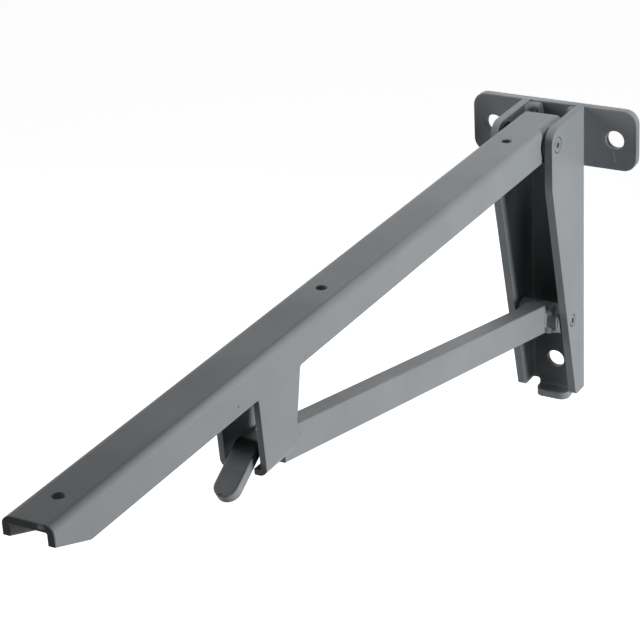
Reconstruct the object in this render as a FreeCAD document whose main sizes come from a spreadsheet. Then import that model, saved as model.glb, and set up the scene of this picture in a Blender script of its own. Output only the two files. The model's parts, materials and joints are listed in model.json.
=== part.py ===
import FreeCAD, Part

import math
import os

import Sketcher
from FreeCAD import Placement, Rotation, Vector

# Folding shelf bracket of powder-coated steel, with its arm up and locked.
#
# Frame: X runs across the bracket, the wall is the plane y = 0, the arm points along -Y and +Z is up.
# The origin lies on the wall, midway between the two upper fixing holes. Heights called "drop" count
# downwards from that bolt line, and every "setback" counts from the wall towards the room.
#
# The wall channel is folded from one sheet, with a stop tab at its foot, and its two cheeks are welded
# to the front of a flat mounting plate. The arm is one folded sheet too: an upside-down channel with a
# deeper nose in its middle, whose lower edges turn inwards. The strut turns on the lower pin, slides
# through the nose as the bracket folds, and ends in a tongue that lifts it off its lock.

# Every size is in millimetres: its name, its value and what it measures.
SIZES = (
    ("bracket_sheet", 3.6, "steel of the wall channel and the mounting plate"),
    ("plate_width", 80.9, "mounting plate, side to side"),
    ("plate_height", 28.9, "mounting plate, top to bottom"),
    ("plate_corner", 6.5, "radius of the plate's corners"),
    ("plate_edge", 0.5, "radius round the plate's front edges"),
    ("bolt_spacing", 60.0, "between the two upper fixing holes"),
    ("bolt_hole", 9.0, "diameter of the three fixing holes"),
    ("low_hole_drop", 116.2, "lower fixing hole"),
    ("channel_bend", 1.2, "inside radius of the wall channel's folds"),
    ("cheek_setback", 39.5, "upright front edge of the cheeks"),
    ("foot_setback", 13.7, "front edge of the cheeks at their foot"),
    ("taper_drop", 13.1, "where the front edge starts to slope back"),
    ("cheek_drop", 127.7, "foot of the cheeks"),
    ("cheek_round", 7.0, "radius of the cheeks' top corner"),
    ("taper_round", 14.0, "radius where the slope starts"),
    ("foot_round", 2.0, "radius of the cheeks' foot"),
    ("tab_drop", 134.3, "underside of the stop tab"),
    ("tab_setback", 9.8, "front edge of the stop tab"),
    ("tab_width", 16.2, "stop tab, side to side"),
    ("tab_round", 3.8, "radius of the tab's front corners"),
    ("tab_root_round", 1.4, "radius of the corners where the tab leaves the cheeks' foot line"),
    ("plate_bead", 4.5, "leg of the weld between cheek and plate"),
    ("bead_inset", 0.5, "how far a weld stops short of its seam's ends"),
    ("arm_top", 13.5, "top face of the arm above the bolt line"),
    ("arm_width", 20.0, "arm, outside"),
    ("arm_sheet", 2.5, "steel of the arm"),
    ("arm_bend", 0.7, "inside radius of the arm's upper folds"),
    ("arm_depth", 14.5, "arm, top to lower edge"),
    ("arm_rear", 16.3, "setback of the arm's rear end"),
    ("arm_reach", 409.8, "setback of the arm's free end"),
    ("end_depth", 7.2, "depth left at the free end"),
    ("end_slant", 18.8, "length over which the end slopes up"),
    ("end_round", 3.0, "radius where that slope starts"),
    ("near_hole", 54.3, "setback of the first shelf hole"),
    ("middle_hole", 220.7, "setback of the second shelf hole"),
    ("far_hole_inset", 17.3, "third shelf hole, from the free end"),
    ("shelf_hole", 4.6, "diameter of the shelf holes"),
    ("nose_depth", 47.4, "nose, from the arm's top to its underside"),
    ("nose_bend", 1.0, "inside radius of the nose's lower folds"),
    ("nose_round", 1.5, "radius where the nose leaves the channel"),
    ("nose_rear_top", 256.2, "rear edge of the nose at the channel"),
    ("nose_rear_foot", 263.3, "rear edge of the nose at its foot"),
    ("nose_front_top", 286.2, "front edge of the nose at the channel"),
    ("nose_front_foot", 283.9, "front edge of the nose at its foot"),
    ("slot_clearance", 0.4, "between the strut and each lip of the nose"),
    ("arm_pin", 7.5, "diameter of the upper pivot pin"),
    ("arm_pin_setback", 32.9, "upper pivot"),
    ("arm_pin_depth", 7.4, "upper pivot below the arm's top face"),
    ("washer_width", 15.0, "outside diameter of the washers beside the arm"),
    ("washer_sheet", 1.3, "thickness of these washers"),
    ("washer_play", 0.1, "between each washer and the arm"),
    ("strut_pin", 6.0, "diameter of the lower pivot pin"),
    ("strut_pin_setback", 17.2, "lower pivot"),
    ("strut_pin_drop", 87.0, "lower pivot"),
    ("press_clearance", 0.02, "pin in the cheeks, on the radius"),
    ("running_clearance", 0.05, "pin in a part that turns, on the radius"),
    ("rivet_chamfer", 0.35, "bevel round the pins' ends"),
    ("dimple_width", 2.4, "punched dimple in the pins' ends"),
    ("dimple_depth", 0.7, "punched dimple in the pins' ends"),
    ("strut_width", 8.2, "strut bar, side to side"),
    ("strut_height", 13.8, "strut bar, top to bottom"),
    ("strut_edge", 0.6, "radius along the strut's long edges"),
    ("bush_width", 14.0, "diameter of the strut's cross bush"),
    ("bush_play", 0.7, "between the bush and each cheek"),
    ("strut_bead", 3.0, "leg of the weld between strut and bush"),
    ("bead_sweep", 100.0, "degrees of the bush that this weld covers"),
    ("lock_gap", 2.0, "between the strut's step and the nose's rear edge"),
    ("neck_height", 5.0, "neck of the release tongue, where it lies on the nose's lips"),
    ("neck_lap", 12.0, "length of the neck let into the strut"),
    ("tongue_width", 10.0, "flattened end of the tongue, side to side"),
    ("tongue_sheet", 4.0, "thickness of the flattened end"),
    ("neck_run", 18.66, "from the strut's step to the place where the tongue bends down"),
    ("tongue_droop", 43.0, "degrees that it bends down from the strut's line"),
    ("tongue_tip", 24.6, "length of the tongue beyond its bend"),
    ("tip_flat", 0.1, "flat left across the middle of the tongue's round tip"),
    ("tongue_edge", 0.5, "radius round the upper edge of the flattened end"),
    ("crank_round", 2.4, "inside radius of that bend"),
    ("shoulder_setback", 1.2, "from that bend back to the tongue's shoulders"),
    ("shoulder_run", 2.0, "length of the shoulders between neck and flattened end"),
)

NUMBERS = {name: value for name, value, meaning in SIZES}
SHEET = "Sizes"
# How far a cutting outline stands clear of the material that it cuts.
OVERCUT = 5.0
# Two points closer than this, in millimetres, and two directions closer than this count as the same.
SAME_PLACE = 1e-3
SAME_DIRECTION = 1e-4


class Size:
    """A length or angle, held as a number and as the formula over the sheet that gives it."""

    def __init__(self, number, formula):
        self.number = number
        self.formula = formula

    def __add__(self, other):
        other = as_size(other)
        return Size(self.number + other.number, f"({self.formula} + {other.formula})")

    def __sub__(self, other):
        other = as_size(other)
        return Size(self.number - other.number, f"({self.formula} - {other.formula})")

    def __mul__(self, other):
        other = as_size(other)
        return Size(self.number * other.number, f"({self.formula} * {other.formula})")

    def __truediv__(self, other):
        other = as_size(other)
        return Size(self.number / other.number, f"({self.formula} / {other.formula})")

    def __neg__(self):
        return Size(-self.number, f"(-1 * {self.formula})")


def as_size(value):
    """Turns a plain number into a Size."""
    return value if isinstance(value, Size) else Size(float(value), repr(float(value)))


def size(name):
    """Returns a named size of the sheet."""
    return Size(NUMBERS[name], f"{SHEET}.{name}")


def root(value):
    return Size(math.sqrt(value.number), f"sqrt({value.formula})")


def sine(angle):
    return Size(math.sin(math.radians(angle.number)), f"sin({angle.formula})")


def cosine(angle):
    return Size(math.cos(math.radians(angle.number)), f"cos({angle.formula})")


def arc_tangent(ratio):
    return Size(math.degrees(math.atan(ratio.number)), f"atan({ratio.formula})")


def arc_sine(ratio):
    return Size(math.degrees(math.asin(ratio.number)), f"asin({ratio.formula})")


doc = FreeCAD.newDocument("folding_shelf_bracket")
PARTS = []


def fill_sheet():
    """Writes the driving sizes into the document's spreadsheet."""
    sheet = doc.addObject("Spreadsheet::Sheet", SHEET)
    for row, (name, value, meaning) in enumerate(SIZES, start=1):
        sheet.set(f"A{row}", str(value))
        sheet.setAlias(f"A{row}", name)
        sheet.set(f"B{row}", meaning)
    doc.recompute()


def bind(thing, prop, value):
    """Sets a property and ties it to the formula of a Size."""
    value = as_size(value)
    thing.setExpression(prop, value.formula)


def new_body(label):
    """Starts a body for one sub-part."""
    body = doc.addObject("PartDesign::Body", label)
    body.Label = label
    PARTS.append(body)
    return body


def origin_feature(body, role):
    """Finds an origin plane or axis of a body."""
    return next(item for item in body.Origin.OriginFeatures if item.Role == role)


def new_sketch(body, name, role, offset=None):
    """Adds a sketch on an origin plane of the body, moved along that plane's normal by offset."""
    sketch = body.newObject("Sketcher::SketchObject", name)
    sketch.AttachmentSupport = [(origin_feature(body, role), "")]
    sketch.MapMode = "FlatFace"
    if offset is not None:
        sketch.AttachmentOffset = Placement(Vector(0, 0, offset.number), Rotation())
        bind(sketch, "AttachmentOffset.Base.z", offset)
    return sketch


def hold_point(sketch, geometry, end, x, y):
    """Fixes a point of the sketch at a place given by two Sizes."""
    for word, value in (("DistanceX", as_size(x)), ("DistanceY", as_size(y))):
        index = sketch.addConstraint(Sketcher.Constraint(word, -1, 1, geometry, end, value.number))
        bind(sketch, f"Constraints[{index}]", value)


def draw_outline(sketch, points):
    """Draws a closed outline of straight edges, each corner held by its two distances."""
    places = [Vector(as_size(x).number, as_size(y).number, 0) for x, y in points]
    first = len(sketch.Geometry)
    count = len(points)
    for index in range(count):
        line = Part.LineSegment(places[index], places[(index + 1) % count])
        sketch.addGeometry(line, False)
    for index in range(count):
        following = first + (index + 1) % count
        sketch.addConstraint(Sketcher.Constraint("Coincident", first + index, 2, following, 1))
    for index, (x, y) in enumerate(points):
        hold_point(sketch, first + index, 1, x, y)


def draw_circle(sketch, x, y, diameter):
    """Draws a circle, held by its centre and diameter."""
    x, y, diameter = as_size(x), as_size(y), as_size(diameter)
    centre = Vector(x.number, y.number, 0)
    circle = Part.Circle(centre, Vector(0, 0, 1), diameter.number / 2)
    geometry = sketch.addGeometry(circle, False)
    hold_point(sketch, geometry, 3, x, y)
    index = sketch.addConstraint(Sketcher.Constraint("Diameter", geometry, diameter.number))
    bind(sketch, f"Constraints[{index}]", diameter)


def pad(body, sketch, length, symmetric=False):
    """Pads a sketch along its normal, or to both sides of its plane."""
    feature = body.newObject("PartDesign::Pad", f"{sketch.Name}_pad")
    feature.Profile = sketch
    feature.SideType = "Symmetric" if symmetric else "One side"
    feature.Length = as_size(length).number
    bind(feature, "Length", length)
    doc.recompute()
    return feature


def pocket(body, sketch):
    """Cuts a sketch through the whole body, to both sides of its plane."""
    before = body.Shape.Volume
    feature = body.newObject("PartDesign::Pocket", f"{sketch.Name}_pocket")
    feature.Profile = sketch
    feature.Type = "ThroughAll"
    feature.SideType = "Symmetric"
    doc.recompute()
    if body.Shape.Volume >= before:
        raise RuntimeError(f"{feature.Name} cuts nothing")
    return feature


def revolve(body, sketch, axis, angle, symmetric=False):
    """Turns a sketch about an origin axis of the body."""
    feature = body.newObject("PartDesign::Revolution", f"{sketch.Name}_turn")
    feature.Profile = sketch
    feature.ReferenceAxis = (origin_feature(body, axis), [""])
    feature.Midplane = symmetric
    feature.Angle = as_size(angle).number
    bind(feature, "Angle", angle)
    doc.recompute()
    return feature


def edges_along(shape, axis, spots):
    """Names the straight edges parallel to an axis that pass through the given spots.

    A spot is the pair of the other two coordinates, in the order X, Y, Z.
    """
    along = "XYZ".index(axis)
    across = [index for index in range(3) if index != along]
    names = []
    for index, edge in enumerate(shape.Edges, start=1):
        if edge.Curve.TypeId != "Part::GeomLine":
            continue
        if abs(abs(edge.Curve.Direction[along]) - 1) > SAME_DIRECTION:
            continue
        point = edge.Vertexes[0].Point
        for spot in spots:
            gaps = [abs(point[side] - as_size(value).number) for side, value in zip(across, spot)]
            if max(gaps) < SAME_PLACE:
                names.append(f"Edge{index}")
                break
    return names


def round_edges(body, axis, spots, radius):
    """Fillets the edges that run along an axis through the given spots."""
    base = body.Tip
    names = edges_along(base.Shape, axis, spots)
    if len(names) < len(spots):
        raise RuntimeError(f"{body.Label}: {len(names)} edges found for {len(spots)} spots")
    feature = body.newObject("PartDesign::Fillet", "rounding")
    feature.Base = (base, names)
    feature.Radius = as_size(radius).number
    bind(feature, "Radius", radius)
    doc.recompute()
    return feature


def round_outline(body, faces, radius):
    """Fillets the outer edges of planar faces, apart from those that two of the faces share."""
    base = body.Tip
    outline = [edge for face in faces for edge in face.OuterWire.Edges]
    names = []
    for index, edge in enumerate(base.Shape.Edges, start=1):
        if sum(edge.isSame(other) for other in outline) == 1:
            names.append(f"Edge{index}")
    feature = body.newObject("PartDesign::Fillet", "soft_edges")
    feature.Base = (base, names)
    bind(feature, "Radius", radius)
    doc.recompute()
    return feature


def faces_towards(shape, normal, place):
    """Finds the planar faces that look along a normal and lie at a given distance along it."""
    found = []
    for face in shape.Faces:
        if face.Surface.TypeId != "Part::GeomPlane":
            continue
        same_side = face.normalAt(0, 0).getAngle(normal) < SAME_DIRECTION
        if same_side and abs(face.CenterOfMass.dot(normal) - place) < SAME_PLACE:
            found.append(face)
    return found


def both_sides(x, other):
    """Gives a spot and its mirror image across the bracket's middle plane."""
    return [(x, other), (-x, other)]


# Sizes that several sub-parts share.
half_arm = size("arm_width") / 2
half_inside = half_arm + size("washer_play") + size("washer_sheet")
half_channel = half_inside + size("bracket_sheet")
outer_bend = size("channel_bend") + size("bracket_sheet")
plate_top = size("plate_height") / 2
plate_foot = -plate_top
nose_foot = size("arm_top") - size("nose_depth")
arm_edge = size("arm_top") - size("arm_depth")
arm_pin_height = size("arm_top") - size("arm_pin_depth")
half_slot = size("strut_width") / 2 + size("slot_clearance")

# The strut leans so that the neck of its tongue lies on the rear edge of the nose's lips.
lips_run = size("nose_rear_foot") - size("strut_pin_setback")
lips_rise = nose_foot + size("arm_sheet") + size("strut_pin_drop")
neck_underside = size("strut_height") / 2 - size("neck_height")
lips_distance = root(lips_run * lips_run + lips_rise * lips_rise)
strut_lean = arc_tangent(lips_rise / lips_run) - arc_sine(neck_underside / lips_distance)


def place_on_strut(body):
    """Puts a body's origin on the lower pivot, with its Y axis along the leaning strut."""
    axis = Vector(-1, 0, 0)
    place = Vector(0, -size("strut_pin_setback").number, -size("strut_pin_drop").number)
    body.Placement = Placement(place, Rotation(axis, strut_lean.number))
    bind(body, "Placement.Base.y", -size("strut_pin_setback"))
    bind(body, "Placement.Base.z", -size("strut_pin_drop"))
    bind(body, "Placement.Rotation.Angle", strut_lean)


def make_mounting_plate():
    """Flat plate against the wall, with rounded corners and the two upper fixing holes."""
    body = new_body("mounting_plate")
    half = size("plate_width") / 2
    blank = new_sketch(body, "plate_blank", "XZ_Plane")
    draw_outline(blank, [(-half, plate_foot), (half, plate_foot), (half, plate_top), (-half, plate_top)])
    pad(body, blank, size("bracket_sheet"))
    corners = both_sides(half, plate_top) + both_sides(half, plate_foot)
    round_edges(body, "Y", corners, size("plate_corner"))
    front = faces_towards(body.Tip.Shape, Vector(0, -1, 0), NUMBERS["bracket_sheet"])
    round_outline(body, front, size("plate_edge"))
    holes = new_sketch(body, "plate_holes", "XZ_Plane")
    for side in (-1, 1):
        draw_circle(holes, size("bolt_spacing") / 2 * side, 0, size("bolt_hole"))
    pocket(body, holes)


def make_wall_channel():
    """Folded channel: a web on the wall, two tapered cheeks and a stop tab at the foot."""
    body = new_body("wall_channel")
    sheet = size("bracket_sheet")
    front = -size("cheek_setback")
    foot = -size("cheek_drop")

    section = new_sketch(body, "channel_section", "XY_Plane", foot)
    draw_outline(section, [
        (-half_channel, 0), (half_channel, 0), (half_channel, front), (half_inside, front),
        (half_inside, -sheet), (-half_inside, -sheet), (-half_inside, front), (-half_channel, front),
    ])
    pad(body, section, plate_foot - foot)
    round_edges(body, "Z", both_sides(half_channel, as_size(0)), outer_bend)
    round_edges(body, "Z", both_sides(half_inside, -sheet), size("channel_bend"))

    # Above the web's top edge the cheeks run flat up to the front of the mounting plate.
    upper = new_sketch(body, "upper_cheeks", "XY_Plane", plate_foot)
    for side in (-1, 1):
        draw_outline(upper, [
            (half_inside * side, -sheet), (half_channel * side, -sheet),
            (half_channel * side, front), (half_inside * side, front),
        ])
    pad(body, upper, size("plate_height"))

    slope_foot = -size("foot_setback")
    slope_top = -size("taper_drop")
    taper = new_sketch(body, "front_taper", "YZ_Plane")
    draw_outline(taper, [
        (front, slope_top), (slope_foot, foot), (slope_foot, foot - OVERCUT),
        (front - OVERCUT, foot - OVERCUT), (front - OVERCUT, slope_top),
    ])
    pocket(body, taper)
    round_edges(body, "X", [(front, plate_top)], size("cheek_round"))
    round_edges(body, "X", [(front, slope_top)], size("taper_round"))
    round_edges(body, "X", [(slope_foot, foot)], size("foot_round"))

    half_tab = size("tab_width") / 2
    tab_foot = -size("tab_drop")
    tab_front = -size("tab_setback")
    tab = new_sketch(body, "stop_tab", "YZ_Plane")
    draw_outline(tab, [
        (0, foot), (0, tab_foot), (tab_front, tab_foot), (tab_front, tab_foot + sheet),
        (-sheet, tab_foot + sheet), (-sheet, foot),
    ])
    pad(body, tab, size("tab_width"), symmetric=True)
    round_edges(body, "X", [(as_size(0), tab_foot)], outer_bend)
    round_edges(body, "X", [(-sheet, tab_foot + sheet)], size("channel_bend"))
    round_edges(body, "Z", both_sides(half_tab, tab_front), size("tab_round"))
    round_edges(body, "Y", both_sides(half_tab, foot), size("tab_root_round"))

    low_hole = new_sketch(body, "low_hole", "XZ_Plane")
    draw_circle(low_hole, 0, -size("low_hole_drop"), size("bolt_hole"))
    pocket(body, low_hole)

    pin_holes = new_sketch(body, "pin_holes", "YZ_Plane")
    grip = size("press_clearance") * 2
    draw_circle(pin_holes, -size("arm_pin_setback"), arm_pin_height, size("arm_pin") + grip)
    draw_circle(pin_holes, -size("strut_pin_setback"), -size("strut_pin_drop"), size("strut_pin") + grip)
    pocket(body, pin_holes)


def make_plate_weld(label, side):
    """Rounded bead in the corner between a cheek and the mounting plate."""
    bead = doc.addObject("Part::Cylinder", label)
    bead.Label = label
    PARTS.append(bead)
    height = size("plate_height") - size("bead_inset") * 2
    start = plate_foot + size("bead_inset")
    bead.Angle = 90
    # A quarter round: it fills the corner from the plate's face to the cheek's.
    turn = 180 if side > 0 else 270
    corner = half_inside * side
    place = Vector(corner.number, -size("bracket_sheet").number, start.number)
    bead.Placement = Placement(place, Rotation(Vector(0, 0, 1), turn))
    bind(bead, "Radius", size("plate_bead"))
    bind(bead, "Height", height)
    bind(bead, "Placement.Base.x", corner)
    bind(bead, "Placement.Base.y", -size("bracket_sheet"))
    bind(bead, "Placement.Base.z", start)


def make_pin(label, diameter, setback, height):
    """Plain rivet pin, flush with the cheeks, its ends bevelled and dimpled."""
    body = new_body(label)
    end = half_channel
    radius = diameter / 2
    bevel = size("rivet_chamfer")
    dimple = size("dimple_width") / 2
    depth = size("dimple_depth")
    profile = new_sketch(body, f"{label}_profile", "XY_Plane")
    draw_outline(profile, [
        (-end + depth, 0), (-end, dimple), (-end, radius - bevel), (-end + bevel, radius),
        (end - bevel, radius), (end, radius - bevel), (end, dimple), (end - depth, 0),
    ])
    revolve(body, profile, "X_Axis", 360)
    body.Placement = Placement(Vector(0, -setback.number, height.number), Rotation())
    bind(body, "Placement.Base.y", -setback)
    bind(body, "Placement.Base.z", height)


def make_washer(label, side):
    """Washer that keeps the arm off a cheek."""
    body = new_body(label)
    face = (half_arm + size("washer_play")) if side > 0 else -half_inside
    ring = new_sketch(body, f"{label}_ring", "YZ_Plane", face)
    for diameter in (size("washer_width"), size("arm_pin") + size("running_clearance") * 2):
        draw_circle(ring, -size("arm_pin_setback"), arm_pin_height, diameter)
    pad(body, ring, size("washer_sheet"))


def make_arm_channel():
    """Arm folded from one sheet: an upside-down channel with a deeper nose and inward lips."""
    body = new_body("arm_channel")
    sheet = size("arm_sheet")
    top = size("arm_top")
    half_hollow = half_arm - sheet

    section = new_sketch(body, "arm_section", "XZ_Plane", size("arm_rear"))
    draw_outline(section, [
        (-half_arm, top), (half_arm, top), (half_arm, nose_foot), (half_slot, nose_foot),
        (half_slot, nose_foot + sheet), (half_hollow, nose_foot + sheet), (half_hollow, top - sheet),
        (-half_hollow, top - sheet), (-half_hollow, nose_foot + sheet), (-half_slot, nose_foot + sheet),
        (-half_slot, nose_foot), (-half_arm, nose_foot),
    ])
    pad(body, section, size("arm_reach") - size("arm_rear"))
    round_edges(body, "Y", both_sides(half_arm, top), size("arm_bend") + sheet)
    round_edges(body, "Y", both_sides(half_hollow, top - sheet), size("arm_bend"))
    round_edges(body, "Y", both_sides(half_arm, nose_foot), size("nose_bend") + sheet)
    round_edges(body, "Y", both_sides(half_hollow, nose_foot + sheet), size("nose_bend"))

    below = nose_foot - OVERCUT
    rear = -size("arm_rear") + OVERCUT
    behind = new_sketch(body, "behind_nose", "YZ_Plane")
    draw_outline(behind, [
        (rear, arm_edge), (-size("nose_rear_top"), arm_edge), (-size("nose_rear_foot"), nose_foot),
        (-size("nose_rear_foot"), below), (rear, below),
    ])
    pocket(body, behind)

    end = -size("arm_reach")
    slant_start = end + size("end_slant")
    end_edge = top - size("end_depth")
    ahead = new_sketch(body, "ahead_of_nose", "YZ_Plane")
    draw_outline(ahead, [
        (-size("nose_front_foot"), nose_foot), (-size("nose_front_top"), arm_edge),
        (slant_start, arm_edge), (end, end_edge), (end - OVERCUT, end_edge),
        (end - OVERCUT, below), (-size("nose_front_foot"), below),
    ])
    pocket(body, ahead)
    nose_corners = [(-size("nose_rear_top"), arm_edge), (-size("nose_front_top"), arm_edge)]
    round_edges(body, "X", nose_corners, size("nose_round"))
    round_edges(body, "X", [(slant_start, arm_edge)], size("end_round"))

    screws = new_sketch(body, "shelf_holes", "XY_Plane")
    for setback in (size("near_hole"), size("middle_hole"), size("arm_reach") - size("far_hole_inset")):
        draw_circle(screws, 0, -setback, size("shelf_hole"))
    pocket(body, screws)

    pivot = new_sketch(body, "arm_pivot", "YZ_Plane")
    bore = size("arm_pin") + size("running_clearance") * 2
    draw_circle(pivot, -size("arm_pin_setback"), arm_pin_height, bore)
    pocket(body, pivot)


def step_place(height):
    """Finds where the strut's upright step cuts a given height of the leaning bar."""
    step_run = size("nose_rear_foot") - size("lock_gap") - size("strut_pin_setback")
    return -(step_run + height * sine(strut_lean)) / cosine(strut_lean)


def make_strut_bar():
    """Strut: a rectangular bar, coped round its bush, stepped and rebated at the nose."""
    body = new_body("strut_bar")
    half_height = size("strut_height") / 2
    lap_end = step_place(neck_underside) + size("neck_lap")
    side_view = new_sketch(body, "strut_side", "YZ_Plane")
    draw_outline(side_view, [
        (0, -half_height), (0, half_height), (lap_end, half_height), (lap_end, neck_underside),
        (step_place(neck_underside), neck_underside), (step_place(-half_height), -half_height),
    ])
    pad(body, side_view, size("strut_width"), symmetric=True)
    half_width = size("strut_width") / 2
    long_edges = both_sides(half_width, half_height) + both_sides(half_width, -half_height)
    round_edges(body, "Y", long_edges, size("strut_edge"))
    cope = new_sketch(body, "bush_cope", "YZ_Plane")
    draw_circle(cope, 0, 0, size("bush_width"))
    pocket(body, cope)
    place_on_strut(body)


def make_strut_bush():
    """Tube across the strut's foot that turns on the lower pin."""
    body = new_body("strut_foot_bush")
    ring = new_sketch(body, "bush_ring", "YZ_Plane")
    draw_circle(ring, 0, 0, size("bush_width"))
    draw_circle(ring, 0, 0, size("strut_pin") + size("running_clearance") * 2)
    pad(body, ring, (half_inside - size("bush_play")) * 2, symmetric=True)
    place_on_strut(body)


def make_strut_weld(label, side):
    """Fillet weld in the corner between a side of the strut and its bush."""
    body = new_body(label)
    face = size("strut_width") / 2
    radius = size("bush_width") / 2
    bead = size("strut_bead")
    profile = new_sketch(body, f"{label}_profile", "XY_Plane")
    draw_outline(profile, [
        (face * side, -radius), ((face + bead) * side, -radius), (face * side, -radius - bead),
    ])
    revolve(body, profile, "X_Axis", size("bead_sweep"), symmetric=True)
    place_on_strut(body)


def make_release_tongue():
    """Tongue: a neck let into the strut, hammered flat and wide beyond the nose, and cranked down."""
    body = new_body("release_tongue")
    upper = size("strut_height") / 2
    sheet = size("tongue_sheet")
    droop = size("tongue_droop")
    rear = step_place(neck_underside) + size("neck_lap")
    crank = step_place(upper) - size("neck_run")
    tip_y = crank - size("tongue_tip") * cosine(droop)
    tip_z = upper - size("tongue_tip") * sine(droop)
    # The underside runs parallel to the top, one thickness away on both sides of the bend.
    shift = sheet * sine(droop / 2) / cosine(droop / 2)
    shoulder = crank + shift + size("shoulder_setback")
    neck_end = shoulder + size("shoulder_run")

    neck = new_sketch(body, "neck_plan", "XY_Plane", neck_underside)
    half_neck = size("strut_width") / 2
    half_tongue = size("tongue_width") / 2
    draw_outline(neck, [
        (-half_neck, rear), (half_neck, rear), (half_neck, neck_end), (half_tongue, shoulder),
        (-half_tongue, shoulder), (-half_neck, neck_end),
    ])
    pad(body, neck, size("neck_height"))
    thinning = new_sketch(body, "neck_thinning", "YZ_Plane")
    draw_outline(thinning, [
        (neck_end, neck_underside), (shoulder, upper - sheet), (shoulder - OVERCUT, upper - sheet),
        (shoulder - OVERCUT, neck_underside - OVERCUT), (neck_end, neck_underside - OVERCUT),
    ])
    pocket(body, thinning)

    side_view = new_sketch(body, "tongue_side", "YZ_Plane")
    draw_outline(side_view, [
        (shoulder, upper), (crank, upper), (tip_y, tip_z),
        (tip_y + sheet * sine(droop), tip_z - sheet * cosine(droop)),
        (crank + shift, upper - sheet), (shoulder, upper - sheet),
    ])
    pad(body, side_view, size("tongue_width"), symmetric=True)
    round_edges(body, "X", [(crank, upper)], size("crank_round") + sheet)
    round_edges(body, "X", [(crank + shift, upper - sheet)], size("crank_round"))
    round_tongue_tip(body)
    droop_turn = math.radians(droop.number)
    upward = Vector(0, -math.sin(droop_turn), math.cos(droop_turn))
    beyond_bend = upward.dot(Vector(0, crank.number, upper.number))
    round_outline(body, faces_towards(body.Tip.Shape, upward, beyond_bend), size("tongue_edge"))
    place_on_strut(body)


def round_tongue_tip(body):
    """Rounds the tongue's tip by filleting the two edges through its thickness."""
    half = NUMBERS["tongue_width"] / 2
    droop = math.radians(NUMBERS["tongue_droop"])
    through = Vector(0, math.sin(droop), -math.cos(droop))
    base = body.Tip
    names = []
    for index, edge in enumerate(base.Shape.Edges, start=1):
        if edge.Curve.TypeId != "Part::GeomLine":
            continue
        at_side = abs(abs(edge.Vertexes[0].Point.x) - half) < SAME_PLACE
        if at_side and edge.Curve.Direction.cross(through).Length < SAME_DIRECTION:
            names.append(f"Edge{index}")
    rounding = body.newObject("PartDesign::Fillet", "tip_rounding")
    rounding.Base = (base, names)
    bind(rounding, "Radius", size("tongue_width") / 2 - size("tip_flat") / 2)
    doc.recompute()


def check_document():
    """Stops if any object failed or any sub-part has no valid solid."""
    doc.recompute()
    for item in doc.Objects:
        if "Invalid" in item.State or "Error" in item.State:
            raise RuntimeError(f"{item.Label} failed: {item.State}")
    for part in PARTS:
        if part.Shape.isNull() or not part.Shape.isValid() or not part.Shape.Solids:
            raise RuntimeError(f"{part.Label} has no valid solid")


def export_parts():
    """Writes one STEP file for each sub-part."""
    os.makedirs("parts", exist_ok=True)
    for part in PARTS:
        part.Shape.exportStep(f"parts/{part.Label}.step")
        box = part.Shape.BoundBox
        print(f"{part.Label}: {part.Shape.Volume / 1000:.2f} cm3, "
              f"y {box.YMin:.1f} to {box.YMax:.1f}, z {box.ZMin:.1f} to {box.ZMax:.1f}")


fill_sheet()
make_mounting_plate()
make_wall_channel()
for word, hand in (("left", -1), ("right", 1)):
    make_plate_weld(f"plate_weld_{word}", hand)
make_pin("upper_pivot_pin", size("arm_pin"), size("arm_pin_setback"), arm_pin_height)
make_pin("lower_pivot_pin", size("strut_pin"), size("strut_pin_setback"), -size("strut_pin_drop"))
for word, hand in (("left", -1), ("right", 1)):
    make_washer(f"arm_washer_{word}", hand)
make_arm_channel()
make_strut_bar()
make_strut_bush()
for word, hand in (("left", -1), ("right", 1)):
    make_strut_weld(f"strut_weld_{word}", hand)
make_release_tongue()
check_document()
export_parts()
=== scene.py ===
"""Looks of a folding shelf bracket: grey powder coat, hand-laid welds and a plain pale studio."""

import json
import logging
import math
import random
from dataclasses import dataclass, field
from enum import Enum

import bpy
from mathutils import Matrix, Vector


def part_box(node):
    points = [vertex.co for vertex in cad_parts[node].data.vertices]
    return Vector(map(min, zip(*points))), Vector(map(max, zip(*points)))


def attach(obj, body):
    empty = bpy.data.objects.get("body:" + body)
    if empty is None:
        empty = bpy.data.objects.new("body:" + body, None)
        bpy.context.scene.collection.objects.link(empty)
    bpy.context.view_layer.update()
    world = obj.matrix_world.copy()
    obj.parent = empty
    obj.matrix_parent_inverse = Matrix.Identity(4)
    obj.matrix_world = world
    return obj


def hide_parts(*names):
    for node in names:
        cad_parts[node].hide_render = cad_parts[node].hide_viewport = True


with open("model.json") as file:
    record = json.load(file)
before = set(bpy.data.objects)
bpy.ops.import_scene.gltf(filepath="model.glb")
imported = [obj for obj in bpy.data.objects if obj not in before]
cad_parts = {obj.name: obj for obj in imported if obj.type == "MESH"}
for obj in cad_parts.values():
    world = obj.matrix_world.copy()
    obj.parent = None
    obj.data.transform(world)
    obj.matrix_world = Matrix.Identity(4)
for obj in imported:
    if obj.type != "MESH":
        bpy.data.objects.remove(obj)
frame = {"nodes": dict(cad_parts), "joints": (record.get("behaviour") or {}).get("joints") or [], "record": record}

logging.basicConfig(level=logging.INFO, format="%(message)s")
log = logging.getLogger("bracket")

MM = 0.001
# Directions along which a finish's seed shifts its patterns.
PATTERN_SHIFT = (1.0, 0.7, -1.0)
# A Mix node's colour sockets share their names with its other sockets, so they go by number.
MIX_FACTOR, MIX_UNDER, MIX_OVER, MIX_RESULT = 0, 6, 7, 2


class Body(Enum):
    """The rigid bodies that a piece can ride on."""

    WALL = "wall_bracket"
    ARM = "arm"
    STRUT = "strut"


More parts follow.
